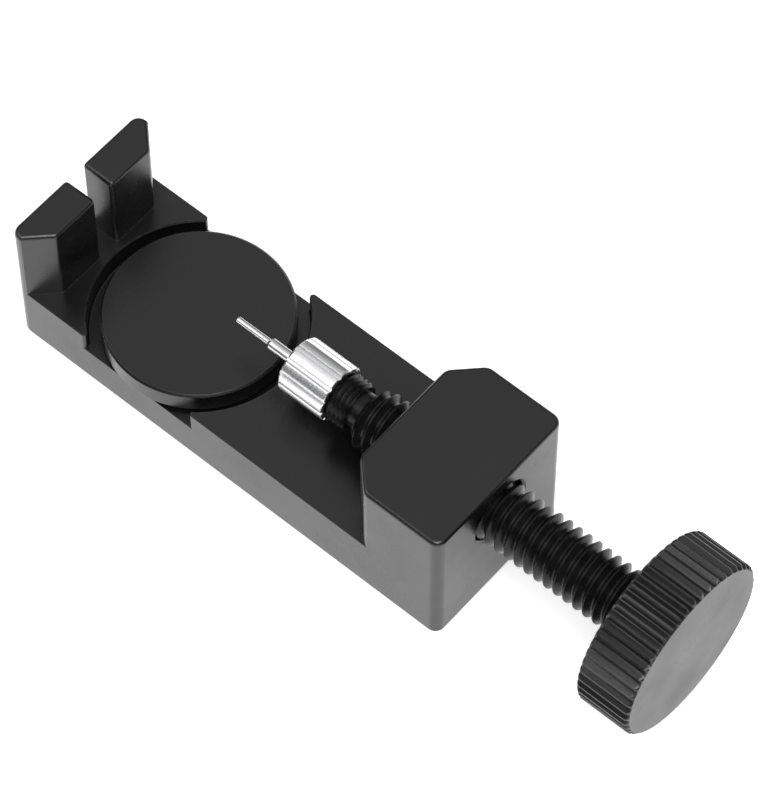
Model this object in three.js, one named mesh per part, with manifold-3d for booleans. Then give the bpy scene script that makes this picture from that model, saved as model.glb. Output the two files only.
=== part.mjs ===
// Bench press for watch bracelet pins: turning the knob drives a punch pin out of a link that
// lies on a round, height-adjustable stage, against a slotted anvil wall.
//
// Millimetres. +X runs from the anvil wall to the knob and +Z is up. The origin is the middle of
// the tool's footprint, on the surface that it stands on. Inside the tool's group, x is counted
// from the outer face of the anvil wall.
import * as THREE from 'three';
import { mergeVertices } from 'three/addons/utils/BufferGeometryUtils.js';
import Module from 'manifold-3d';

const wasm = await Module();
wasm.setup();

// ---- driving dimensions ----

const OVERALL_LENGTH = 105;
const AXIS_HEIGHT = 16.28; // of the screw, the chuck and the punch pin
const RUNNING_GAP = 0.3; // between pieces that turn, slide or are screwed in one another

const BODY = { length: 73.7, width: 25, baseHeight: 9.9, height: 23.5, cornerRadius: 1.5 };
const EDGE_BEVEL = 0.6;
const WALL = { thickness: 5.3, innerChamfer: 3.4, ease: 0.8, slotWidth: 3.1 };
const BLOCK = { start: 57.2, innerChamfer: 4, ease: 1.8, countersink: 0.35 };

const STAGE = { x: 21.5, radius: 13.2, top: 10.6, thickness: 3.3, bevel: 0.35 };
const POCKET = { radius: 15, floor: 6.7, ease: 0.5 };
const STEM = { radius: 3, root: 2.45, pitch: 1, bottom: 0.8, grooveRadius: 2.2, socket: 2 };
const CLIP = { bottom: 1.3, thickness: 0.8, outerRadius: 4.7, mouth: 1.1 };
const CLIP_WELL = { radius: 6.2, depth: 3.7 };

const THREAD = { start: 51.5, crest: 4.47, root: 3.62, pitch: 1.6 };
const WAIST = { start: 49.8, radius: 2.7 };
const NOSE_THREAD = { start: 46.9, crest: 3.6, root: 3.2, pitch: 0.75 };
const CAP = { front: 39, rear: 46.6, radius: 4.13, frontWall: 1.6, wall: 0.93, bevel: 0.37 };
const CAP_GROOVES = { count: 12, depth: 0.42, mouth: 0.8, floor: 0.3 };
const PIN = { tip: 28.75, tipRadius: 0.48, neckStart: 34.2, neckRadius: 0.85, headRadius: 1.55 };
const PIN_HEAD_LENGTH = 9.4;
const KNOB = { start: 96.7, radius: 13.05, innerBevel: 0.35, outerBevel: 0.5, socket: 4.6 };
const KNURL = { count: 52, depth: 0.55, crest: 0.25, floor: 0.2 };

const THREAD_SIDES = 16;
const TURNED_SIDES = 40;
const FINE_SIDES = 80;

// ---- materials ----

const blackAnodised = new THREE.MeshStandardMaterial({
  color: 0x303032,
  roughness: 0.5,
  metalness: 0.6,
});
const blackSteel = new THREE.MeshStandardMaterial({
  color: 0x161617,
  roughness: 0.4,
  metalness: 0.8,
});
const brightSteel = new THREE.MeshStandardMaterial({
  color: 0xd8d9db,
  roughness: 0.25,
  metalness: 1,
});

// ---- solids ----

function solidFrom(geometry) {
  const bare = geometry.clone();
  bare.deleteAttribute('normal');
  bare.deleteAttribute('uv');
  const merged = mergeVertices(bare, 1e-4);
  const corners = merged.index.array;
  const triVerts = [];
  for (let i = 0; i < corners.length; i += 3) {
    const [a, b, c] = corners.slice(i, i + 3);
    if (a !== b && b !== c && c !== a) {
      triVerts.push(a, b, c);
    }
  }
  const vertProperties = merged.attributes.position.array;
  return new wasm.Manifold(
    new wasm.Mesh({ numProp: 3, vertProperties, triVerts: Uint32Array.from(triVerts) }),
  );
}

function geometryFrom(solid) {
  const { vertProperties, triVerts } = solid.getMesh();
  const geometry = new THREE.BufferGeometry();
  geometry.setAttribute('position', new THREE.BufferAttribute(vertProperties, 3));
  geometry.setIndex(new THREE.BufferAttribute(triVerts, 1));
  geometry.computeVertexNormals();
  return geometry;
}

// A turned solid about X: each profile point is [x, radius], from the low x to the high x.
function turnedAlongX(profile, sides = TURNED_SIDES) {
  const points = profile.map(([x, radius]) => new THREE.Vector2(radius, x));
  return solidFrom(new THREE.LatheGeometry(points, sides).rotateZ(-Math.PI / 2));
}

// A turned solid about Z: each profile point is [z, radius], from the low z to the high z.
function turnedAlongZ(profile, sides = TURNED_SIDES) {
  const points = profile.map(([z, radius]) => new THREE.Vector2(radius, z));
  return solidFrom(new THREE.LatheGeometry(points, sides).rotateX(Math.PI / 2));
}

function drillAlongX(from, to, radius, sides) {
  return turnedAlongX([[from, 0], [from, radius], [to, radius], [to, 0]], sides);
}

function drillAlongZ(from, to, radius, sides) {
  return turnedAlongZ([[from, 0], [from, radius], [to, radius], [to, 0]], sides);
}

// A plate standing on z = 0, with its top and bottom edges bevelled inside its outline.
function bevelledPlate(outline, height, bevel) {
  const corners = outline.getPoints(6);
  if (corners[0].distanceTo(corners.at(-1)) < 1e-6) {
    corners.pop();
  }
  const plate = new THREE.ExtrudeGeometry(new THREE.Shape(corners), {
    depth: height - 2 * bevel,
    bevelThickness: bevel,
    bevelSize: bevel,
    bevelOffset: -bevel,
    bevelSegments: 1,
  });
  return solidFrom(plate.translate(0, 0, bevel));
}

// A prism along +X whose section is given in the plane across X, y first.
function prismAlongX(points, from, to) {
  const section = new THREE.Shape(points);
  const prism = new THREE.ExtrudeGeometry(section, { depth: to - from, bevelEnabled: false });
  const zToX = new THREE.Matrix4().makeBasis(
    new THREE.Vector3(0, 1, 0),
    new THREE.Vector3(0, 0, 1),
    new THREE.Vector3(1, 0, 0),
  );
  return solidFrom(prism.applyMatrix4(zToX).translate(from, 0, 0));
}

// A right-hand threaded rod along +X, longer than the span asked for by a turn at each end, to be
// trimmed there. Column i of the grid is the thread's profile at one angle, and a turn further on
// it is the first column again, one pitch along.
function threadedRod({ start, end, crest, root, pitch }) {
  const ridge = [[0.1, root], [0.52, crest], [0.66, crest]];
  const perTurn = ridge.length;
  const rows = perTurn * (Math.ceil((end - start) / pitch) + 2);
  const positions = [];
  const columnStart = [];
  for (let i = 0; i < THREAD_SIDES; i += 1) {
    columnStart.push(positions.length / 3);
    const angle = (2 * Math.PI * i) / THREAD_SIDES;
    const lastRow = i === 0 ? rows + perTurn : rows;
    for (let k = 0; k <= lastRow; k += 1) {
      const [along, radius] = ridge[k % perTurn];
      const turns = Math.floor(k / perTurn) + along + i / THREAD_SIDES - 1.5;
      positions.push(start + pitch * turns, radius * Math.cos(angle), radius * Math.sin(angle));
    }
  }
  const lowTip = positions.length / 3;
  positions.push(positions[0], 0, 0);
  const highTip = lowTip + 1;
  positions.push(positions[3 * (rows + perTurn)], 0, 0);

  const at = (i, k) => (i === THREAD_SIDES ? k + perTurn : columnStart[i] + k);
  const faces = [];
  for (let i = 0; i < THREAD_SIDES; i += 1) {
    for (let k = 0; k < rows; k += 1) {
      faces.push(at(i, k), at(i + 1, k), at(i, k + 1));
      faces.push(at(i + 1, k), at(i + 1, k + 1), at(i, k + 1));
    }
    faces.push(at(i + 1, 0), at(i, 0), lowTip);
    faces.push(at(i, rows), at(i + 1, rows), highTip);
  }
  for (let k = 0; k < perTurn; k += 1) {
    faces.push(at(0, k), at(0, k + 1), lowTip);
    faces.push(at(0, rows + k + 1), at(0, rows + k), highTip);
  }
  const rod = new THREE.BufferGeometry();
  rod.setAttribute('position', new THREE.Float32BufferAttribute(positions, 3));
  rod.setIndex(faces);
  return solidFrom(rod);
}

// A ring of points in a plane, with a V-shaped groove between each two of its crests.
function groovedCircle({ count, radius, depth, crest, floor }) {
  const pitchAngle = (2 * Math.PI) / count;
  const crestAngle = crest / radius;
  const floorAngle = floor / radius;
  const points = [];
  for (let i = 0; i < count; i += 1) {
    const middle = i * pitchAngle;
    const corners = [
      [middle - crestAngle / 2, radius],
      [middle + crestAngle / 2, radius],
      [middle + (pitchAngle - floorAngle) / 2, radius - depth],
      [middle + (pitchAngle + floorAngle) / 2, radius - depth],
    ];
    for (const [angle, r] of corners) {
      points.push(new THREE.Vector2(r * Math.cos(angle), r * Math.sin(angle)));
    }
  }
  return points;
}

// ---- frame ----

// A closed outline with every corner rounded: each corner is [x, y, radius].
function roundedOutline(corners) {
  const points = corners.map(([x, y]) => new THREE.Vector2(x, y));
  const outline = new THREE.Shape();
  corners.forEach(([x, y, radius], i) => {
    const before = points.at(i - 1).clone().sub(points[i]).normalize();
    const after = points[(i + 1) % points.length].clone().sub(points[i]).normalize();
    const reach = radius / Math.tan(before.angleTo(after) / 2);
    const start = points[i].clone().addScaledVector(before, reach);
    const end = points[i].clone().addScaledVector(after, reach);
    if (i === 0) {
      outline.moveTo(start.x, start.y);
    } else {
      outline.lineTo(start.x, start.y);
    }
    outline.quadraticCurveTo(x, y, end.x, end.y);
  });
  return outline;
}

function baseOutline() {
  const side = BODY.width / 2;
  return roundedOutline([
    [0, -side, BODY.cornerRadius],
    [BODY.length, -side, BODY.cornerRadius],
    [BODY.length, side, BODY.cornerRadius],
    [0, side, BODY.cornerRadius],
  ]);
}

// The anvil wall or the screw block in plan: the corners that face the stage are chamfered, and
// the chamfers' own corners eased.
function uprightOutline(outerFace, innerFace, chamfer, ease) {
  const side = BODY.width / 2;
  const shoulder = innerFace - Math.sign(innerFace - outerFace) * chamfer;
  return roundedOutline([
    [outerFace, -side, BODY.cornerRadius],
    [shoulder, -side, ease],
    [innerFace, -side + chamfer, ease],
    [innerFace, side - chamfer, ease],
    [shoulder, side, ease],
    [outerFace, side, BODY.cornerRadius],
  ]);
}

function screwHole() {
  const radius = THREAD.crest + RUNNING_GAP;
  const mouth = radius + BLOCK.countersink;
  return turnedAlongX([
    [BLOCK.start - 1, 0],
    [BLOCK.start - 1, radius],
    [BODY.length - BLOCK.countersink, radius],
    [BODY.length, mouth],
    [BODY.length + 1, mouth],
    [BODY.length + 1, 0],
  ]).translate(0, 0, AXIS_HEIGHT);
}

function anvilSlot() {
  const above = BODY.height + 1;
  const slot = new THREE.BoxGeometry(WALL.thickness + 2, WALL.slotWidth, above - BODY.baseHeight);
  return solidFrom(slot.translate(WALL.thickness / 2, 0, (above + BODY.baseHeight) / 2));
}

// The round pocket about the stage, from its floor up. It breaks through both sides of the base,
// and the four corners that it leaves there are rounded.
function stagePocket() {
  const past = BODY.width / 2 + 1;
  const y = BODY.width / 2 - POCKET.ease;
  const x = Math.sqrt((POCKET.radius + POCKET.ease) ** 2 - y ** 2);
  const waist = 0.1;
  const quarter = [[waist, 0], [x, y], [x, past]];
  const half = [...quarter, ...quarter.map(([a, b]) => [-a, b]).reverse()];
  const outline = [...half.slice(0, -1), ...half.map(([a, b]) => [-a, -b]).slice(0, -1)];
  const flares = new THREE.ExtrudeGeometry(
    new THREE.Shape(outline.map(([a, b]) => new THREE.Vector2(a, b))),
    { depth: BODY.height - POCKET.floor, bevelEnabled: false },
  );
  const corner = drillAlongZ(0, BODY.height + 1, POCKET.ease, 24);
  return solidFrom(flares.translate(0, 0, POCKET.floor))
    .subtract(corner.translate(x, y, 0))
    .subtract(corner.translate(-x, y, 0))
    .subtract(corner.translate(x, -y, 0))
    .subtract(corner.translate(-x, -y, 0))
    .add(drillAlongZ(POCKET.floor, BODY.height, POCKET.radius, FINE_SIDES));
}

function frameBody() {
  const wall = uprightOutline(0, WALL.thickness, WALL.innerChamfer, WALL.ease);
  const block = uprightOutline(BODY.length, BLOCK.start, BLOCK.innerChamfer, BLOCK.ease);
  const stemHole = drillAlongZ(-1, BODY.height, STEM.radius + RUNNING_GAP);
  const clipWell = drillAlongZ(-1, CLIP_WELL.depth, CLIP_WELL.radius);
  return bevelledPlate(baseOutline(), BODY.baseHeight, EDGE_BEVEL)
    .add(bevelledPlate(wall, BODY.height, EDGE_BEVEL))
    .add(bevelledPlate(block, BODY.height, EDGE_BEVEL))
    .subtract(stagePocket().translate(STAGE.x, 0, 0))
    .subtract(stemHole.add(clipWell).translate(STAGE.x, 0, 0))
    .subtract(anvilSlot())
    .subtract(screwHole());
}

// ---- stage ----

function stageDisc() {
  const bottom = STAGE.top - STAGE.thickness;
  const disc = turnedAlongZ([
    [bottom, 0],
    [bottom, STAGE.radius - STAGE.bevel],
    [bottom + STAGE.bevel, STAGE.radius],
    [STAGE.top - STAGE.bevel, STAGE.radius],
    [STAGE.top, STAGE.radius - STAGE.bevel],
    [STAGE.top, 0],
  ], FINE_SIDES);
  return disc.subtract(drillAlongZ(bottom - 1, bottom + STEM.socket, STEM.radius + RUNNING_GAP));
}

// The stud that the disc is fixed on. Its thread runs in the base, and a groove near its foot
// takes the retaining clip.
function stageStem() {
  const top = STAGE.top - STAGE.thickness + STEM.socket - RUNNING_GAP;
  const grooveLow = CLIP.bottom - RUNNING_GAP;
  const grooveHigh = CLIP.bottom + CLIP.thickness + RUNNING_GAP;
  const lead = STEM.radius - STEM.root;
  const upright = new THREE.Matrix4().makeRotationY(-Math.PI / 2);
  const thread = threadedRod({
    start: STEM.bottom,
    end: top,
    crest: STEM.radius,
    root: STEM.root,
    pitch: STEM.pitch,
  }).transform(upright.elements);
  const envelope = turnedAlongZ([
    [STEM.bottom, 0],
    [STEM.bottom, STEM.grooveRadius],
    [grooveHigh, STEM.grooveRadius],
    [grooveHigh, STEM.root],
    [grooveHigh + lead, STEM.radius + 0.1],
    [top - lead, STEM.radius + 0.1],
    [top, STEM.root],
    [top, 0],
  ]);
  const foot = drillAlongZ(STEM.bottom, grooveLow, STEM.root);
  return thread.intersect(envelope).add(foot);
}

function stageClip() {
  const inner = STEM.grooveRadius + RUNNING_GAP;
  const halfMouth = CLIP.mouth;
  const ring = new THREE.Shape();
  ring.absarc(0, 0, CLIP.outerRadius, halfMouth, 2 * Math.PI - halfMouth, false);
  ring.absarc(0, 0, inner, 2 * Math.PI - halfMouth, halfMouth, true);
  ring.closePath();
  const clip = new THREE.ExtrudeGeometry(ring, {
    depth: CLIP.thickness,
    bevelEnabled: false,
    curveSegments: 32,
  });
  return solidFrom(clip.translate(0, 0, CLIP.bottom));
}

// ---- feed screw, knob, chuck and pin ----

const capInside = CAP.front + CAP.frontWall;
const screwTail = KNOB.start + KNOB.socket - RUNNING_GAP;

function feedScrew() {
  const lead = THREAD.crest - THREAD.root;
  const thread = threadedRod({ ...THREAD, end: screwTail });
  const threadEnvelope = turnedAlongX([
    [THREAD.start, 0],
    [THREAD.start, THREAD.root],
    [THREAD.start + lead, THREAD.crest + 0.1],
    [screwTail - lead, THREAD.crest + 0.1],
    [screwTail, THREAD.root],
    [screwTail, 0],
  ]);
  const noseThread = threadedRod({ ...NOSE_THREAD, end: WAIST.start });
  const noseEnvelope = turnedAlongX([
    [NOSE_THREAD.start, 0],
    [NOSE_THREAD.start, NOSE_THREAD.root],
    [NOSE_THREAD.start + 0.4, NOSE_THREAD.crest + 0.1],
    [WAIST.start - 0.4, NOSE_THREAD.crest + 0.1],
    [WAIST.start, NOSE_THREAD.root],
    [WAIST.start, 0],
  ]);
  const noseRadius = CAP.radius - CAP.wall - RUNNING_GAP;
  const core = turnedAlongX([
    [capInside + RUNNING_GAP, 0],
    [capInside + RUNNING_GAP, noseRadius - 0.3],
    [capInside + RUNNING_GAP + 0.3, noseRadius],
    [NOSE_THREAD.start + 0.5, noseRadius],
    [NOSE_THREAD.start + 0.5, WAIST.radius],
    [THREAD.start + 1, WAIST.radius],
    [THREAD.start + 1, 0],
  ]);
  const pinHole = drillAlongX(
    capInside - 1,
    capInside + PIN_HEAD_LENGTH + 2 * RUNNING_GAP,
    PIN.headRadius + RUNNING_GAP,
    24,
  );
  return core
    .add(thread.intersect(threadEnvelope))
    .add(noseThread.intersect(noseEnvelope))
    .subtract(pinHole);
}

function knob() {
  const face = OVERALL_LENGTH;
  const knurl = prismAlongX(groovedCircle({ ...KNURL, radius: KNOB.radius }), KNOB.start, face);
  const envelope = turnedAlongX([
    [KNOB.start, 0],
    [KNOB.start, KNOB.radius - KNOB.innerBevel],
    [KNOB.start + KNOB.innerBevel, KNOB.radius],
    [KNOB.start + KNOB.innerBevel, KNOB.radius + 1],
    [face - KNOB.outerBevel - 1, KNOB.radius + 1],
    [face - KNOB.outerBevel, KNOB.radius],
    [face, KNOB.radius - KNOB.outerBevel],
    [face, 0],
  ], FINE_SIDES);
  const socket = drillAlongX(
    KNOB.start - 1,
    KNOB.start + KNOB.socket,
    THREAD.crest + RUNNING_GAP,
  );
  return knurl.intersect(envelope).subtract(socket);
}

function chuckCap() {
  const crest = (2 * Math.PI * CAP.radius) / CAP_GROOVES.count - CAP_GROOVES.mouth;
  const fluted = prismAlongX(
    groovedCircle({ ...CAP_GROOVES, radius: CAP.radius, crest }),
    CAP.front,
    CAP.rear,
  ).rotate([180 / CAP_GROOVES.count, 0, 0]);
  const envelope = turnedAlongX([
    [CAP.front, PIN.neckRadius + RUNNING_GAP],
    [CAP.front, CAP.radius - CAP.bevel],
    [CAP.front + CAP.bevel, CAP.radius],
    [CAP.front + CAP.bevel + 0.1, CAP.radius + 1],
    [CAP.rear - 0.25, CAP.radius + 1],
    [CAP.rear - 0.15, CAP.radius],
    [CAP.rear, CAP.radius - 0.15],
    [CAP.rear, CAP.radius - CAP.wall],
    [capInside, CAP.radius - CAP.wall],
    [capInside, PIN.neckRadius + RUNNING_GAP],
    [CAP.front, PIN.neckRadius + RUNNING_GAP],
  ]);
  return fluted.intersect(envelope);
}

function punchPin() {
  const shoulder = capInside + RUNNING_GAP;
  const end = shoulder + PIN_HEAD_LENGTH;
  return turnedAlongX([
    [PIN.tip, 0],
    [PIN.tip, PIN.tipRadius - 0.08],
    [PIN.tip + 0.12, PIN.tipRadius],
    [PIN.neckStart, PIN.tipRadius],
    [PIN.neckStart + 0.5, PIN.neckRadius],
    [shoulder, PIN.neckRadius],
    [shoulder, PIN.headRadius - 0.2],
    [shoulder + 0.2, PIN.headRadius],
    [end - 0.2, PIN.headRadius],
    [end, PIN.headRadius - 0.2],
    [end, 0],
  ], 20);
}

// ---- assembly ----

function named(name, solid, material, x = 0, z = 0) {
  const mesh = new THREE.Mesh(geometryFrom(solid), material);
  mesh.name = name;
  mesh.position.set(x, 0, z);
  return mesh;
}

const tool = new THREE.Group();
tool.position.x = -OVERALL_LENGTH / 2;
tool.add(
  named('frame_body', frameBody(), blackAnodised),
  named('stage_disc', stageDisc(), blackAnodised, STAGE.x),
  named('stage_stem', stageStem(), blackSteel, STAGE.x),
  named('stage_clip', stageClip(), brightSteel, STAGE.x),
  named('feed_screw', feedScrew(), blackSteel, 0, AXIS_HEIGHT),
  named('knob', knob(), blackAnodised, 0, AXIS_HEIGHT),
  named('chuck_cap', chuckCap(), brightSteel, 0, AXIS_HEIGHT),
  named('punch_pin', punchPin(), brightSteel, 0, AXIS_HEIGHT),
);

export default tool;
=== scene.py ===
"""Looks for a bench press that pushes the pins out of watch bracelet links.

Lengths named below are in millimetres. Along the tool they are counted from the outer face of
the anvil wall, across it from the screw's axis, and up from the bench.
"""
from math import atan2, ceil, cos, degrees, pi, radians, sin, tan

import bmesh
import bpy
from mathutils import Matrix, Vector


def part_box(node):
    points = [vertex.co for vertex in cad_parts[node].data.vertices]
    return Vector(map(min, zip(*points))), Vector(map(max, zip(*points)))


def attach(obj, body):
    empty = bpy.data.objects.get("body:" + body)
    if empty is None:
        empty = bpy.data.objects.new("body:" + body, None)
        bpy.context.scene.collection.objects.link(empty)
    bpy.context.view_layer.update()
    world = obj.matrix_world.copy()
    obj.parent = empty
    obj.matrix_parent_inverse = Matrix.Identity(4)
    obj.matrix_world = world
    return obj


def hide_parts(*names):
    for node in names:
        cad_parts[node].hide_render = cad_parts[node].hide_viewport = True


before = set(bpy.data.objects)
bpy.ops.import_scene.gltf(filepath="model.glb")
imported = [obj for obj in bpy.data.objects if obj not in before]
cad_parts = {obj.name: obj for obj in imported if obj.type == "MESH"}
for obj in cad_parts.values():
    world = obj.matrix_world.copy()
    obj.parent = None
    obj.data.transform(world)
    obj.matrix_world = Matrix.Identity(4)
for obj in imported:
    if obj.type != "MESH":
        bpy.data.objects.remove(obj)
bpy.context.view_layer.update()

MM = 0.001

# ---- driving dimensions ----

body_low, body_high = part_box("frame_body")
stem_low, stem_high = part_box("stage_stem")
disc_low, disc_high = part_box("stage_disc")
knob_low, knob_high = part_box("knob")
cap_low, cap_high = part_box("chuck_cap")
pin_low, pin_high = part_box("punch_pin")
clip_low, clip_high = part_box("stage_clip")


def station(x):
    """Millimetres from the anvil wall's outer face to a place along the row's X."""
    return (x - body_low.x) / MM


# Clearance between fitted pieces, and how far a cutter reaches past what it cuts.
GAP = 0.3
PAST = 1.0
AXIS_HEIGHT = (knob_low.z + knob_high.z) / 2 / MM
BODY_LENGTH = station(body_high.x)
HALF_WIDTH = body_high.y / MM
BODY_HEIGHT = body_high.z / MM
BASE_HEIGHT = 9.9
CORNER_RADIUS = 1.5
EDGE_BEVEL = 0.6
WALL_THICKNESS = 5.3
WALL_CHAMFER = 3.4
WALL_EASE = 0.8
SLOT_WIDTH = 3.1
BLOCK_START = 57.2
BLOCK_CHAMFER = 4.0
BLOCK_EASE = 1.8
COUNTERSINK = 0.35
BORE_LIP = 0.25

STAGE_X = station((disc_low.x + disc_high.x) / 2)
STAGE_RADIUS = (disc_high.x - disc_low.x) / 2 / MM
STAGE_BOTTOM = disc_low.z / MM
STAGE_TOP = disc_high.z / MM
STAGE_SOCKET = 2.0
POCKET_RADIUS = 15.0
POCKET_FLOOR = 6.7
POCKET_EASE = 0.5
POCKET_LIP = 0.18
STEM_RADIUS = 3.0
STEM_ROOT = 2.45
STEM_PITCH = 1.0
STEM_GROOVE = 2.2
CLIP_WELL_RADIUS = 6.2
CLIP_WELL_DEPTH = 3.7
CLIP_WELL_LIP = 0.3
CLIP_RADIUS = 4.7
CLIP_MOUTH = 1.1

THREAD_START = 51.5
THREAD_CREST = 4.47
THREAD_ROOT = 3.62
THREAD_PITCH = 1.6
WAIST_START = 49.8
WAIST_RADIUS = 2.7
NOSE_START = 46.9
NOSE_CREST = 3.6
NOSE_ROOT = 3.25
NOSE_PITCH = 0.75
THREAD_ROOM = 0.05

CAP_FRONT = station(cap_low.x)
CAP_REAR = station(cap_high.x)
CAP_RADIUS = 4.13
CAP_BORE = 3.2
CAP_INSIDE = CAP_FRONT + 1.6
CAP_RIBS = 12
CAP_GROOVE = 0.42
# Half a rib and a whole flank of its groove, as shares of the ribs' spacing.
CAP_RIB = 0.32
CAP_FLANK = 0.11
CAP_LIP = 0.15
PIN_TIP = station(pin_low.x)
PIN_END = station(pin_high.x)
PIN_TIP_RADIUS = 0.48
PIN_NECK_START = 34.2
PIN_NECK_RADIUS = 0.85
PIN_HEAD_RADIUS = 1.55
KNOB_START = station(knob_low.x)
KNOB_FACE = station(knob_high.x)
KNOB_RADIUS = 13.05
KNOB_SOCKET = 4.6
KNURL_RIDGES = 52
KNURL_DEPTH = 0.55
# Half a crest and a whole flank, as shares of the knurl's spacing.
KNURL_CREST = 0.07
KNURL_FLANK = 0.37

# Sides of a turned piece, by how large it looks.
FINE_SIDES = 180
BORE_SIDES = 96
WELL_SIDES = 72
ROD_SIDES = 64
PIN_SIDES = 40

# The two lines that pieces are turned about: a direction, and a place on the tool.
ABOUT_SCREW = ("X", Vector((0, 0, AXIS_HEIGHT)))
ABOUT_STAGE = ("Z", Vector((STAGE_X, 0, 0)))


# ---- camera, light and floor ----


def add_camera():
    """A long lens looking down on the tool from the knob's end and its near side."""
    azimuth, elevation, roll = radians(40.56), radians(58.83), radians(-0.10)
    distance = 583.0
    aim = Vector((-4.1, 7.07, 7.94)) * MM
    back = Vector(
        (sin(azimuth) * cos(elevation), -cos(azimuth) * cos(elevation), sin(elevation))
    )
    data = bpy.data.cameras.new("camera")
    data.lens = 198.0
    data.sensor_width = 36.0
    data.clip_start = 0.01
    data.clip_end = 20.0
    camera = bpy.data.objects.new("camera", data)
    bpy.context.collection.objects.link(camera)
    turn = (-back).to_track_quat("-Z", "Y").to_matrix() @ Matrix.Rotation(roll, 3, "Z")
    camera.matrix_world = Matrix.Translation(aim + back * distance * MM) @ turn.to_4x4()
    bpy.context.scene.camera = camera


def add_area_light(name, place, size, power):
    """A round light aimed at the middle of the tool."""
    data = bpy.data.lights.new(name, "AREA")
    data.shape = "DISK"
    data.size = size
    data.energy = power
    light = bpy.data.objects.new(name, data)
    bpy.context.collection.objects.link(light)
    light.location = Vector(place)
    light.rotation_mode = "QUATERNION"
    light.rotation_quaternion = (-light.location).to_track_quat("-Z", "Y")


def add_sky(zenith, horizon):
    """A soft light overhead that fades to a dim surround."""
    world = bpy.data.worlds.new("studio")
    world.use_nodes = True
    nodes, links = world.node_tree.nodes, world.node_tree.links
    direction = nodes.new("ShaderNodeTexCoord").outputs["Generated"]
    parts = nodes.new("ShaderNodeSeparateXYZ")
    links.new(direction, parts.inputs[0])
    fade = nodes.new("ShaderNodeMapRange")
    fade.interpolation_type = "SMOOTHSTEP"
    fade.inputs["From Min"].default_value = 0.35
    fade.inputs["From Max"].default_value = 0.8
    fade.inputs["To Min"].default_value = horizon
    fade.inputs["To Max"].default_value = zenith
    links.new(parts.outputs["Z"], fade.inputs["Value"])
    links.new(fade.outputs["Result"], nodes["Background"].inputs["Strength"])
    nodes["Background"].inputs["Color"].default_value = (1.0, 1.0, 1.0, 1.0)
    bpy.context.scene.world = world


def add_studio():
    bpy.context.scene.view_settings.view_transform = "Standard"
    add_sky(zenith=0.72, horizon=0.1)
    add_area_light("key", place=(0.30, -0.30, 0.85), size=0.7, power=6.5)
    add_area_light("fill", place=(-0.5, -0.3, 0.6), size=0.6, power=1.5)
    add_floor()


def add_floor():
    """A white sheet, a hair below the tool's underside so that the two do not share a plane."""
    material = bpy.data.materials.new("floor")
    material.use_nodes = True
    shader = material.node_tree.nodes["Principled BSDF"]
    shader.inputs["Base Color"].default_value = (0.9, 0.9, 0.9, 1.0)
    shader.inputs["Roughness"].default_value = 0.9
    shader.inputs["Specular IOR Level"].default_value = 0.1
    shader.inputs["Emission Color"].default_value = (1.0, 1.0, 1.0, 1.0)
    shader.inputs["Emission Strength"].default_value = 0.5
    reach = 3.0
    level = -0.05 * MM
    corners = [(-reach, -reach), (reach, -reach), (reach, reach), (-reach, reach)]
    mesh = bpy.data.meshes.new("floor")
    mesh.from_pydata([(x, y, level) for x, y in corners], [], [(0, 1, 2, 3)])
    mesh.materials.append(material)
    floor = bpy.data.objects.new("floor", mesh)
    bpy.context.collection.objects.link(floor)


# ---- materials ----


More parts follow.
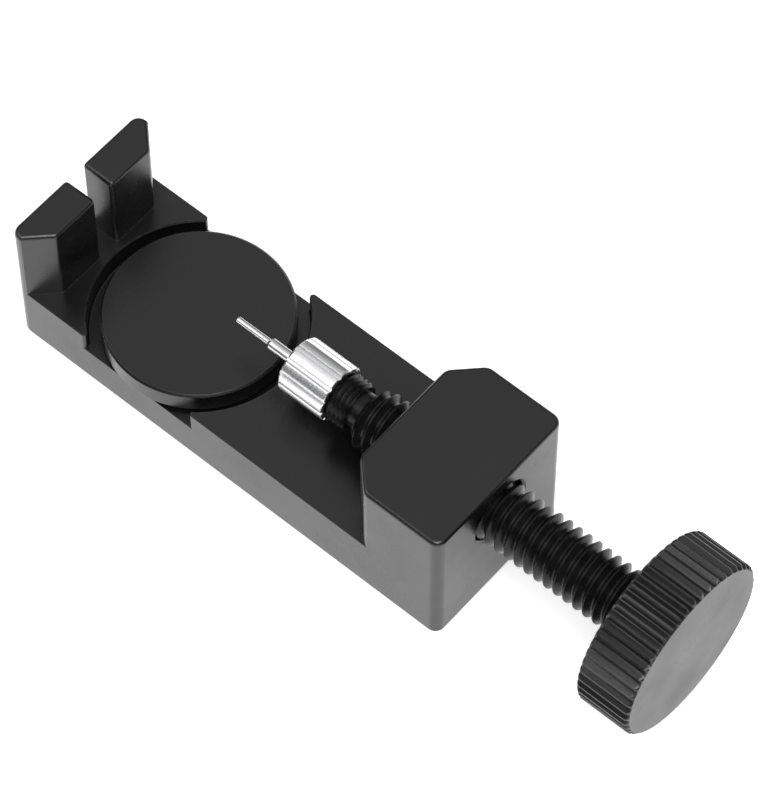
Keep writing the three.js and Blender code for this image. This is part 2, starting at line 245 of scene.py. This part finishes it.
class Nodes:
    """A material's node tree, with short calls for the nodes that the finishes share."""

    def __init__(self, name, colour, metallic, roughness):
        self.material = bpy.data.materials.new(name)
        self.material.use_nodes = True
        self.tree = self.material.node_tree
        self.shader = self.tree.nodes["Principled BSDF"]
        self.shader.inputs["Base Color"].default_value = (*colour, 1.0)
        self.shader.inputs["Metallic"].default_value = metallic
        self.shader.inputs["Roughness"].default_value = roughness
        self.place = self.add("ShaderNodeTexCoord").outputs["Object"]
        self.normal = None

    def add(self, kind, **settings):
        node = self.tree.nodes.new(kind)
        for key, value in settings.items():
            setattr(node, key, value)
        return node

    def link(self, start, end):
        self.tree.links.new(start, end)

    def math(self, operation, first, second):
        node = self.add("ShaderNodeMath", operation=operation)
        for socket, value in zip(node.inputs, (first, second)):
            if isinstance(value, (int, float)):
                socket.default_value = value
            else:
                self.link(value, socket)
        return node.outputs[0]

    def noise(self, per_mm, detail, stretch=(1, 1, 1), place=None):
        scale = self.add("ShaderNodeVectorMath", operation="MULTIPLY")
        self.link(place or self.place, scale.inputs[0])
        scale.inputs[1].default_value = [per_mm / MM * factor for factor in stretch]
        node = self.add("ShaderNodeTexNoise")
        node.inputs["Scale"].default_value = 1.0
        node.inputs["Detail"].default_value = detail
        self.link(scale.outputs[0], node.inputs["Vector"])
        return node.outputs["Fac"]

    def spread(self, value, low, high):
        """A 0 to 1 value, its middle stretched to run from low to high."""
        node = self.add("ShaderNodeMapRange")
        node.inputs["From Min"].default_value = 0.3
        node.inputs["From Max"].default_value = 0.7
        node.inputs["To Min"].default_value = low
        node.inputs["To Max"].default_value = high
        self.link(value, node.inputs["Value"])
        return node.outputs["Result"]

    def bump(self, height, depth_mm):
        node = self.add("ShaderNodeBump")
        node.inputs["Strength"].default_value = 1.0
        node.inputs["Distance"].default_value = depth_mm * MM
        self.link(height, node.inputs["Height"])
        if self.normal is not None:
            self.link(self.normal, node.inputs["Normal"])
        self.normal = node.outputs["Normal"]
        self.link(self.normal, self.shader.inputs["Normal"])

    def edge_mask(self, radius_mm):
        """1 along sharp edges, where handling rubs a finish, and 0 on the flats."""
        rounded = self.add("ShaderNodeBevel", samples=4)
        rounded.inputs["Radius"].default_value = radius_mm * MM
        geometry = self.add("ShaderNodeNewGeometry")
        product = self.add("ShaderNodeVectorMath", operation="DOT_PRODUCT")
        self.link(rounded.outputs["Normal"], product.inputs[0])
        self.link(geometry.outputs["Normal"], product.inputs[1])
        node = self.add("ShaderNodeMapRange")
        node.inputs["From Min"].default_value = 0.995
        node.inputs["From Max"].default_value = 0.90
        self.link(product.outputs["Value"], node.inputs["Value"])
        return node.outputs["Result"]

    def colour(self, factor, low, high):
        node = self.add("ShaderNodeMix", data_type="RGBA")
        node.inputs["A"].default_value = (*low, 1.0)
        node.inputs["B"].default_value = (*high, 1.0)
        self.link(factor, node.inputs["Factor"])
        self.link(node.outputs["Result"], self.shader.inputs["Base Color"])

    def radius_about(self, axis, centre_mm):
        """Millimetres from a line along the row's X or Z."""
        shift = self.add("ShaderNodeVectorMath", operation="SUBTRACT")
        shift.inputs[1].default_value = [value * MM for value in centre_mm]
        self.link(self.place, shift.inputs[0])
        flatten = self.add("ShaderNodeVectorMath", operation="MULTIPLY")
        flatten.inputs[1].default_value = (0, 1, 1) if axis == "X" else (1, 1, 0)
        self.link(shift.outputs[0], flatten.inputs[0])
        length = self.add("ShaderNodeVectorMath", operation="LENGTH")
        self.link(flatten.outputs[0], length.inputs[0])
        return self.math("DIVIDE", length.outputs["Value"], MM)


def anodised(name, colour, worn, roughness, turned_about=None):
    """Blasted and black anodised aluminium, a little rubbed on its edges.

    turned_about is the line that turning marks run round, on a piece that has them.
    """
    nodes = Nodes(name, colour, 0.0, roughness)
    nodes.shader.inputs["IOR"].default_value = 1.52
    handling = nodes.noise(per_mm=0.12, detail=4.0)
    rub = nodes.noise(per_mm=1.5, detail=4.0)
    edges = nodes.math("MULTIPLY", nodes.edge_mask(radius_mm=0.35), nodes.spread(rub, 0.0, 0.6))
    cloud = nodes.spread(handling, 0.0, 0.03)
    nodes.colour(nodes.math("MAXIMUM", edges, cloud), colour, worn)
    nodes.link(
        nodes.spread(handling, roughness - 0.05, roughness + 0.06),
        nodes.shader.inputs["Roughness"],
    )
    nodes.bump(nodes.noise(per_mm=6.0, detail=3.0), depth_mm=0.02)
    if turned_about:
        radius = nodes.radius_about(*turned_about)
        line = nodes.add("ShaderNodeCombineXYZ")
        nodes.link(nodes.math("MULTIPLY", radius, MM), line.inputs[0])
        rings = nodes.noise(per_mm=9.0, detail=2.0, place=line.outputs[0])
        nodes.bump(rings, depth_mm=0.004)
    return nodes.material


def oiled_black_steel(name):
    """Black oxide on a cut thread, with a film of oil."""
    nodes = Nodes(name, (0.005, 0.005, 0.005), 0.0, 0.25)
    nodes.shader.inputs["IOR"].default_value = 1.3
    film = nodes.noise(per_mm=0.7, detail=4.0)
    nodes.colour(nodes.spread(film, 0.0, 1.0), (0.003, 0.003, 0.003), (0.008, 0.008, 0.008))
    nodes.link(nodes.spread(film, 0.18, 0.32), nodes.shader.inputs["Roughness"])
    nodes.bump(nodes.noise(per_mm=5.0, detail=3.0, stretch=(3, 1, 1)), depth_mm=0.01)
    return nodes.material


def bright_metal(name, colour, roughness, grain, grain_depth):
    """Machined metal, its grain stretched round or along the piece."""
    nodes = Nodes(name, colour, 1.0, roughness)
    streak = nodes.noise(per_mm=4.0, detail=4.0, stretch=grain)
    smear = nodes.noise(per_mm=0.5, detail=3.0)
    dull = tuple(0.8 * value for value in colour)
    nodes.colour(nodes.spread(smear, 0.0, 0.5), colour, dull)
    nodes.link(
        nodes.spread(streak, roughness - 0.06, roughness + 0.1),
        nodes.shader.inputs["Roughness"],
    )
    nodes.bump(streak, grain_depth)
    return nodes.material


# ---- mesh making ----


def new_piece(name, vertices, faces, origin):
    """A closed mesh from millimetre points counted from an origin on the tool."""
    mesh = bpy.data.meshes.new(name)
    corner = Vector((body_low.x, 0, 0))
    mesh.from_pydata([corner + (Vector(point) + origin) * MM for point in vertices], [], faces)
    shell = bmesh.new()
    shell.from_mesh(mesh)
    bmesh.ops.recalc_face_normals(shell, faces=shell.faces)
    shell.to_mesh(mesh)
    shell.free()
    piece = bpy.data.objects.new(name, mesh)
    bpy.context.collection.objects.link(piece)
    return piece


def rounded(profile, steps=4):
    """A profile of (along, radius, fillet) points with its corners turned into arcs."""
    points = []
    for i, (along, radius, fillet) in enumerate(profile):
        here = Vector((along, radius))
        if not fillet:
            points.append(here)
            continue
        before = (Vector(profile[i - 1][:2]) - here).normalized()
        after = (Vector(profile[(i + 1) % len(profile)][:2]) - here).normalized()
        opening = before.angle(after)
        reach = fillet / tan(opening / 2)
        centre = here + (before + after).normalized() * (fillet / sin(opening / 2))
        start = here + before * reach - centre
        end = here + after * reach - centre
        first = atan2(start.y, start.x)
        sweep = (atan2(end.y, end.x) - first + pi) % (2 * pi) - pi
        for step in range(steps + 1):
            angle = first + sweep * step / steps
            points.append(centre + Vector((cos(angle), sin(angle))) * fillet)
    return points


def even_angles(sides):
    return [2 * pi * i / sides for i in range(sides)]


def turned(name, profile, angles, axis, origin, section=None, ring=False):
    """Turns a profile about a line along X or Z. section(angle, radius) may cut flutes in it.

    An open profile starts and ends on the axis; a ring's closes on itself.
    """
    on_axis = 1e-6
    vertices = []
    rows = []
    for point in rounded(profile):
        if point.y < on_axis:
            rows.append([len(vertices)])
            vertices.append((point.x, 0, 0))
            continue
        rows.append(range(len(vertices), len(vertices) + len(angles)))
        for angle in angles:
            radius = section(angle, point.y) if section else point.y
            vertices.append((point.x, radius * cos(angle), radius * sin(angle)))
    if axis == "Z":
        vertices = [(y, z, x) for x, y, z in vertices]
    faces = []
    pairs = list(zip(rows, rows[1:]))
    if ring:
        pairs.append((rows[-1], rows[0]))
    for low, high in pairs:
        for i in range(len(angles)):
            j = (i + 1) % len(angles)
            if len(low) == 1:
                faces.append((low[0], high[j], high[i]))
            elif len(high) == 1:
                faces.append((low[i], low[j], high[0]))
            else:
                faces.append((low[i], low[j], high[j], high[i]))
    return new_piece(name, vertices, faces, origin)


def threaded_rod(name, start, end, crest, root, pitch, axis, origin):
    """A right-hand threaded rod, half a turn or more past each end of its span, to be trimmed.

    Its ridge is a row of (along, height) points, as shares of the pitch and of the thread's depth.
    """
    ridge = [(0.0, 0.0), (0.12, 0.0), (0.17, 0.08), (0.47, 0.93), (0.51, 1.0), (0.61, 1.0)]
    ridge += [(0.65, 0.93), (0.95, 0.08)]
    sides = ROD_SIDES
    lead_in = 1.5
    per_turn = len(ridge)
    rows = per_turn * (ceil((end - start) / pitch) + 2)
    vertices = []
    first = []
    for i in range(sides):
        first.append(len(vertices))
        angle = 2 * pi * i / sides
        for k in range((rows + per_turn if i == 0 else rows) + 1):
            along, height = ridge[k % per_turn]
            turns = k // per_turn + along + i / sides - lead_in
            radius = root + (crest - root) * height
            vertices.append((start + pitch * turns, radius * cos(angle), radius * sin(angle)))
    low_tip = len(vertices)
    vertices.append((vertices[0][0], 0, 0))
    vertices.append((vertices[rows + per_turn][0], 0, 0))

    def at(i, k):
        return k + per_turn if i == sides else first[i] + k

    faces = []
    for i in range(sides):
        for k in range(rows):
            faces.append((at(i, k), at(i + 1, k), at(i + 1, k + 1), at(i, k + 1)))
        faces.append((at(i + 1, 0), at(i, 0), low_tip))
        faces.append((at(i, rows), at(i + 1, rows), low_tip + 1))
    for k in range(per_turn):
        faces.append((at(0, k), at(0, k + 1), low_tip))
        faces.append((at(0, rows + k + 1), at(0, rows + k), low_tip + 1))
    if axis == "Z":
        vertices = [(y, z, x) for x, y, z in vertices]
    return new_piece(name, vertices, faces, origin)


def arc(centre_x, centre_y, radius, start, end, steps):
    """Points on a circular arc, from one angle in degrees to another."""
    sweep = [radians(start + (end - start) * i / steps) for i in range(steps + 1)]
    return [(centre_x + radius * cos(a), centre_y + radius * sin(a)) for a in sweep]


def plate(name, outline, bottom, top):
    """A prism standing on a plan outline."""
    count = len(outline)
    vertices = [(x, y, bottom) for x, y in outline] + [(x, y, top) for x, y in outline]
    faces = [tuple(range(count)), tuple(range(count, 2 * count))]
    for i in range(count):
        j = (i + 1) % count
        faces.append((i, j, j + count, i + count))
    return new_piece(name, vertices, faces, Vector())


def settle(piece):
    """Puts a piece's modifiers into its mesh."""
    evaluated = piece.evaluated_get(bpy.context.evaluated_depsgraph_get())
    mesh = bpy.data.meshes.new_from_object(evaluated)
    piece.modifiers.clear()
    old = piece.data
    piece.data = mesh
    bpy.data.meshes.remove(old)


def merge_flats(piece):
    """Joins the flat faces that a boolean has split, and closes up doubled points."""
    apart = 0.002
    flat = 0.5
    shell = bmesh.new()
    shell.from_mesh(piece.data)
    bmesh.ops.remove_doubles(shell, verts=shell.verts, dist=apart * MM)
    bmesh.ops.dissolve_limit(
        shell, angle_limit=radians(flat), verts=shell.verts, edges=shell.edges
    )
    shell.to_mesh(piece.data)
    shell.free()


def combine(piece, other, operation):
    """Joins or cuts a piece with another, which is used up."""
    modifier = piece.modifiers.new("combine", "BOOLEAN")
    modifier.operation = operation
    modifier.solver = "MANIFOLD"
    modifier.object = other
    settle(piece)
    bpy.data.objects.remove(other)


def trim(rod, envelope, about):
    """Keeps only what lies inside a turned envelope, which is a little wider than the crests."""
    combine(rod, turned("envelope", envelope, even_angles(ROD_SIDES), *about), "INTERSECT")


def finish_piece(piece, material, body, node):
    """Smooth shading with flat faces kept flat, then the material, the body and the CAD node."""
    crease = 38
    mesh = piece.data
    mesh.shade_smooth()
    mesh.set_sharp_from_angle(angle=radians(crease))
    weighted = piece.modifiers.new("weighted_normals", "WEIGHTED_NORMAL")
    weighted.keep_sharp = True
    mesh.materials.clear()
    mesh.materials.append(material)
    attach(piece, body)
    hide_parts(node)


# ---- frame ----


def bay_outline():
    """The space between the anvil wall and the screw block in plan, flared at its four corners.

    The flare cuts the chamfers of the wall and of the block.
    """
    past = 2.0
    side = HALF_WIDTH + 0.01
    shoulder = BLOCK_START + BLOCK_CHAMFER
    half = [
        (WALL_THICKNESS, HALF_WIDTH - WALL_CHAMFER, WALL_EASE),
        (WALL_THICKNESS - WALL_CHAMFER - past, HALF_WIDTH + past, 0),
        (shoulder + past, HALF_WIDTH + past, 0),
        (shoulder + past, side, 0),
        (shoulder, side, BLOCK_EASE),
        (BLOCK_START, HALF_WIDTH - BLOCK_CHAMFER, BLOCK_EASE),
    ]
    return rounded(half + [(x, -y, fillet) for x, y, fillet in reversed(half)])


def soften(piece, width, angle):
    """Rounds the outside edges that turn by more than an angle in degrees."""
    weights = piece.data.attributes.new("bevel_weight_edge", "FLOAT", "EDGE")
    shell = bmesh.new()
    shell.from_mesh(piece.data)
    for edge in shell.edges:
        if edge.calc_face_angle_signed(0.0) > radians(angle):
            weights.data[edge.index].value = 1.0
    shell.free()
    bevel = piece.modifiers.new("soften", "BEVEL")
    bevel.width = width * MM
    bevel.segments = 3
    bevel.limit_method = "WEIGHT"
    bevel.use_clamp_overlap = False
    settle(piece)


def pocket_corner(along, across):
    """What rounds one of the four sharp corners that the pocket would leave at the base's sides."""
    inward = 3
    overlap = 0.2
    y = HALF_WIDTH - POCKET_EASE
    x = ((POCKET_RADIUS + POCKET_EASE) ** 2 - y * y) ** 0.5
    steep = degrees(atan2(y, x))
    outline = arc(x, y, POCKET_EASE, 180 + steep, 90, 8)
    outline += [(x, HALF_WIDTH + PAST), (x - inward, HALF_WIDTH + PAST), (x - inward, y - overlap)]
    outline = [(STAGE_X + along * px, across * py) for px, py in outline]
    return plate("pocket_corner", outline, POCKET_FLOOR, BASE_HEIGHT + PAST)


def build_frame_body(material):
    """One block, less the bay, the slot, the stage's pocket and well, and the screw's bore."""
    corners = [(0, -1), (BODY_LENGTH, -1), (BODY_LENGTH, 1), (0, 1)]
    outline = [(x, side * HALF_WIDTH, CORNER_RADIUS) for x, side in corners]
    above = BODY_HEIGHT + PAST
    body = plate("press_frame", rounded(outline, steps=6), 0, BODY_HEIGHT)
    combine(body, plate("bay", bay_outline(), BASE_HEIGHT, above), "DIFFERENCE")
    half_slot = SLOT_WIDTH / 2
    slot = [(-PAST, -half_slot), (WALL_THICKNESS + PAST, -half_slot)]
    slot += [(WALL_THICKNESS + PAST, half_slot), (-PAST, half_slot)]
    combine(body, plate("slot", slot, BASE_HEIGHT, above), "DIFFERENCE")
    merge_flats(body)
    # The base's two long edges beside the bay stay sharp: their bevel comes out flat.
    soften(body, width=EDGE_BEVEL, angle=50)
    cut_pocket(body)
    cut_well(body)
    cut_bore(body)
    finish_piece(body, material, "frame", "frame_body")


def cut_pocket(body):
    """The round pocket that the stage lies in, open at the base's two sides."""
    lip_end = BASE_HEIGHT + 0.02
    above = BASE_HEIGHT + 4
    pocket = [
        (POCKET_FLOOR, 0, 0),
        (POCKET_FLOOR, POCKET_RADIUS, 0.25),
        (BASE_HEIGHT - POCKET_LIP, POCKET_RADIUS, 0),
        (lip_end, POCKET_RADIUS + POCKET_LIP, 0),
        (above, POCKET_RADIUS + POCKET_LIP, 0),
        (above, 0, 0),
    ]
    combine(body, turned("pocket", pocket, even_angles(FINE_SIDES), *ABOUT_STAGE), "DIFFERENCE")
    for across in (-1, 1):
        for along in (-1, 1):
            combine(body, pocket_corner(along, across), "DIFFERENCE")


def cut_well(body):
    """The stud's hole, and the well that its retaining clip lies in under the base."""
    hole = STEM_RADIUS + GAP
    mouth = CLIP_WELL_RADIUS + CLIP_WELL_LIP
    well = [
        (-PAST, 0, 0),
        (-PAST, mouth, 0),
        (0, mouth, 0),
        (CLIP_WELL_LIP, CLIP_WELL_RADIUS, 0),
        (CLIP_WELL_DEPTH, CLIP_WELL_RADIUS, 0.2),
        (CLIP_WELL_DEPTH, hole, 0),
        (POCKET_FLOOR + PAST, hole, 0),
        (POCKET_FLOOR + PAST, 0, 0),
    ]
    combine(body, turned("well", well, even_angles(WELL_SIDES), *ABOUT_STAGE), "DIFFERENCE")


def cut_bore(body):
    """The screw's hole through the block, countersunk at its outer end."""
    radius = THREAD_CREST + GAP
    bore = [
        (BLOCK_START - PAST, 0, 0),
        (BLOCK_START - PAST, radius + BORE_LIP, 0),
        (BLOCK_START, radius + BORE_LIP, 0),
        (BLOCK_START + BORE_LIP, radius, 0),
        (BODY_LENGTH - COUNTERSINK, radius, 0),
        (BODY_LENGTH, radius + COUNTERSINK, 0),
        (BODY_LENGTH + PAST, radius + COUNTERSINK, 0),
        (BODY_LENGTH + PAST, 0, 0),
    ]
    combine(body, turned("bore", bore, even_angles(BORE_SIDES), *ABOUT_SCREW), "DIFFERENCE")


# ---- stage ----


def build_stage_disc(material):
    socket = STEM_RADIUS + GAP
    lip = 0.2
    rim = 0.3
    profile = [
        (STAGE_BOTTOM + STAGE_SOCKET, 0, 0),
        (STAGE_BOTTOM + STAGE_SOCKET, socket, 0),
        (STAGE_BOTTOM + lip, socket, 0),
        (STAGE_BOTTOM, socket + lip, 0),
        (STAGE_BOTTOM, STAGE_RADIUS, 0.25),
        (STAGE_TOP - rim, STAGE_RADIUS, 0.05),
        (STAGE_TOP, STAGE_RADIUS - rim, 0.05),
        (STAGE_TOP, 0, 0),
    ]
    disc = turned("turning_stage", profile, even_angles(FINE_SIDES), *ABOUT_STAGE)
    finish_piece(disc, material, "stage", "stage_disc")


def build_stage_stem(material):
    """The stage's stud: a threaded length, and under it a plain foot with the clip's groove."""
    bottom, top = stem_low.z / MM, stem_high.z / MM
    groove_low, groove_high = clip_low.z / MM - GAP, clip_high.z / MM + GAP
    lead = STEM_RADIUS - STEM_ROOT
    outside = STEM_RADIUS + THREAD_ROOM
    into_groove = 0.4
    overlap = 0.2
    stem = threaded_rod(
        "stage_stud", groove_high, top, STEM_RADIUS, STEM_ROOT, STEM_PITCH, *ABOUT_STAGE
    )
    envelope = [
        (groove_high - into_groove, 0, 0),
        (groove_high - into_groove, STEM_GROOVE, 0),
        (groove_high, STEM_GROOVE, 0),
        (groove_high, STEM_ROOT, 0),
        (groove_high + lead, outside, 0),
        (top - lead, outside, 0),
        (top, STEM_ROOT, 0),
        (top, 0, 0),
    ]
    trim(stem, envelope, ABOUT_STAGE)
    foot = [
        (bottom, 0, 0),
        (bottom, STEM_ROOT, 0.15),
        (groove_low, STEM_ROOT, 0.05),
        (groove_low, STEM_GROOVE, 0),
        (groove_high - overlap, STEM_GROOVE, 0),
        (groove_high - overlap, 0, 0),
    ]
    combine(stem, turned("foot", foot, even_angles(ROD_SIDES), *ABOUT_STAGE), "UNION")
    finish_piece(stem, material, "stage_post", "stage_stem")


def build_stage_clip(material):
    inner = STEM_GROOVE + GAP
    mouth = degrees(CLIP_MOUTH)
    outline = arc(STAGE_X, 0, CLIP_RADIUS, mouth, 360 - mouth, 72)
    outline += arc(STAGE_X, 0, inner, 360 - mouth, mouth, 60)
    clip = plate("retaining_clip", outline, clip_low.z / MM, clip_high.z / MM)
    soften(clip, width=0.12, angle=30)
    finish_piece(clip, material, "stage_post", "stage_clip")


# ---- feed screw, knob, chuck and pin ----


def build_feed_screw(material):
    """The main thread, a waist, and a finer threaded nose that is hollow for the pin's head."""
    tail = KNOB_START + KNOB_SOCKET - GAP
    lead = THREAD_CREST - THREAD_ROOT
    outside = THREAD_CREST + THREAD_ROOM
    screw = threaded_rod(
        "feed_screw_threaded",
        THREAD_START,
        tail,
        THREAD_CREST,
        THREAD_ROOT,
        THREAD_PITCH,
        *ABOUT_SCREW,
    )
    envelope = [
        (THREAD_START, 0, 0),
        (THREAD_START, THREAD_ROOT, 0),
        (THREAD_START + lead, outside, 0),
        (tail - lead, outside, 0),
        (tail, THREAD_ROOT, 0),
        (tail, 0, 0),
    ]
    trim(screw, envelope, ABOUT_SCREW)
    combine(screw, threaded_nose(), "UNION")
    front = CAP_INSIDE + GAP
    nose_radius = CAP_BORE - GAP
    pin_hole = PIN_HEAD_RADIUS + GAP
    pin_hole_end = PIN_END + GAP
    lip = 0.2
    overlap = 0.5
    core = [
        (pin_hole_end, 0, 0),
        (pin_hole_end, pin_hole, 0),
        (front + lip, pin_hole, 0),
        (front, pin_hole + lip, 0),
        (front, nose_radius, 0.25),
        (NOSE_START + overlap, nose_radius, 0),
        (NOSE_START + overlap, WAIST_RADIUS, 0),
        (THREAD_START + PAST, WAIST_RADIUS, 0),
        (THREAD_START + PAST, 0, 0),
    ]
    drill = [
        (front - PAST, 0, 0),
        (front - PAST, pin_hole, 0),
        (pin_hole_end, pin_hole, 0),
        (pin_hole_end, 0, 0),
    ]
    combine(screw, turned("drill", drill, even_angles(ROD_SIDES), *ABOUT_SCREW), "DIFFERENCE")
    combine(screw, turned("core", core, even_angles(ROD_SIDES), *ABOUT_SCREW), "UNION")
    finish_piece(screw, material, "spindle", "feed_screw")


def threaded_nose():
    """The short finer thread that the chuck cap is screwed on."""
    lead = 0.35
    outside = NOSE_CREST + THREAD_ROOM
    nose = threaded_rod(
        "nose", NOSE_START, WAIST_START, NOSE_CREST, NOSE_ROOT, NOSE_PITCH, *ABOUT_SCREW
    )
    envelope = [
        (NOSE_START, 0, 0),
        (NOSE_START, NOSE_ROOT, 0),
        (NOSE_START + lead, outside, 0),
        (WAIST_START - lead, outside, 0),
        (WAIST_START, NOSE_ROOT, 0),
        (WAIST_START, 0, 0),
    ]
    trim(nose, envelope, ABOUT_SCREW)
    return nose


def knurl_angles():
    """Angles at the corners of each knurl ridge, and about halfway down its flanks."""
    foot = KNURL_CREST + KNURL_FLANK
    halfway = 0.26
    ridge = [-foot, -halfway, -KNURL_CREST, KNURL_CREST, halfway, foot]
    return [2 * pi * (i + part) / KNURL_RIDGES for i in range(KNURL_RIDGES) for part in ridge]


def knurl_section(angle, radius):
    """Straight knurling: a narrow crest, flat flanks and a narrow floor."""
    part = abs((angle * KNURL_RIDGES / (2 * pi) + 0.5) % 1 - 0.5)
    slope = min(max((part - KNURL_CREST) / KNURL_FLANK, 0.0), 1.0)
    return min(radius, KNOB_RADIUS - KNURL_DEPTH * slope)


def build_knob(material):
    socket = THREAD_CREST + GAP
    lip = 0.3
    back_edge = 0.35
    face_edge = 0.5
    profile = [
        (KNOB_START + KNOB_SOCKET, 0, 0),
        (KNOB_START + KNOB_SOCKET, socket, 0),
        (KNOB_START + lip, socket, 0),
        (KNOB_START, socket + lip, 0),
        (KNOB_START, KNOB_RADIUS - 1.0, 0),
        (KNOB_START, KNOB_RADIUS - back_edge, 0.1),
        (KNOB_START + back_edge, KNOB_RADIUS, 0.1),
        (KNOB_FACE - face_edge, KNOB_RADIUS, 0),
        (KNOB_FACE, KNOB_RADIUS - face_edge, 0),
        (KNOB_FACE, KNOB_RADIUS - 1.1, 0),
        (KNOB_FACE, 0, 0),
    ]
    knob = turned("knurled_knob", profile, knurl_angles(), *ABOUT_SCREW, knurl_section)
    finish_piece(knob, material, "spindle", "knob")


def rib_angles():
    """Angles round the chuck cap, closer together at the grooves between its ribs."""
    rib = [-0.07, -0.05, 0, 0.05, 0.07, 0.10, 0.14, 0.17, 0.2, 0.3, 0.4, 0.5]
    rib += [0.6, 0.7, 0.8, 0.83, 0.86, 0.90]
    return [2 * pi * (i + part) / CAP_RIBS for i in range(CAP_RIBS) for part in rib]


def rib_section(angle, radius):
    """Wide ribs that follow the circle, with narrow grooves between them and a plain bore."""
    if radius < CAP_BORE + 0.2:
        return radius
    part = abs((angle * CAP_RIBS / (2 * pi)) % 1 - 0.5)
    depth = min(max((part - CAP_RIB) / CAP_FLANK, 0.0), 1.0)
    return min(radius, CAP_RADIUS - CAP_GROOVE * depth)


def build_chuck_cap(material):
    hole = PIN_NECK_RADIUS + GAP
    front_edge = 0.37
    profile = [
        (CAP_FRONT, hole + CAP_LIP, 0),
        (CAP_FRONT, CAP_RADIUS - front_edge, 0.12),
        (CAP_FRONT + front_edge, CAP_RADIUS, 0.12),
        (CAP_REAR - CAP_LIP, CAP_RADIUS, 0.05),
        (CAP_REAR, CAP_RADIUS - CAP_LIP, 0.05),
        (CAP_REAR, CAP_BORE + CAP_LIP, 0),
        (CAP_REAR - CAP_LIP, CAP_BORE, 0),
        (CAP_INSIDE, CAP_BORE, 0),
        (CAP_INSIDE, hole, 0),
        (CAP_FRONT + CAP_LIP, hole, 0),
    ]
    cap = turned("fluted_cap", profile, rib_angles(), *ABOUT_SCREW, rib_section, ring=True)
    finish_piece(cap, material, "chuck", "chuck_cap")


def build_punch_pin(material):
    shoulder = CAP_INSIDE + GAP
    taper = 0.45
    profile = [
        (PIN_TIP, 0, 0),
        (PIN_TIP, PIN_TIP_RADIUS, 0.1),
        (PIN_NECK_START, PIN_TIP_RADIUS, 0.15),
        (PIN_NECK_START + taper, PIN_NECK_RADIUS, 0.1),
        (shoulder, PIN_NECK_RADIUS, 0),
        (shoulder, PIN_HEAD_RADIUS, 0.2),
        (PIN_END, PIN_HEAD_RADIUS, 0.2),
        (PIN_END, 0, 0),
    ]
    pin = turned("stepped_pin", profile, even_angles(PIN_SIDES), *ABOUT_SCREW)
    finish_piece(pin, material, "punch", "punch_pin")


# ---- the scene ----

add_camera()
add_studio()

black = (0.004, 0.004, 0.0042)
worn = (0.05, 0.05, 0.051)
build_frame_body(anodised("black_anodised", black, worn, 0.25))
build_stage_disc(anodised("stage_anodised", black, worn, 0.28, ABOUT_STAGE))
build_knob(anodised("knob_anodised", black, worn, 0.3, ABOUT_SCREW))
black_steel = oiled_black_steel("black_steel")
build_stage_stem(black_steel)
build_feed_screw(black_steel)
build_stage_clip(bright_metal("spring_steel", (0.45, 0.45, 0.46), 0.35, (1, 1, 1), 0.01))
build_chuck_cap(bright_metal("bright_plated", (0.88, 0.88, 0.89), 0.28, (1, 4, 4), 0.006))
build_punch_pin(bright_metal("pin_steel", (0.72, 0.72, 0.73), 0.25, (4, 1, 1), 0.004))

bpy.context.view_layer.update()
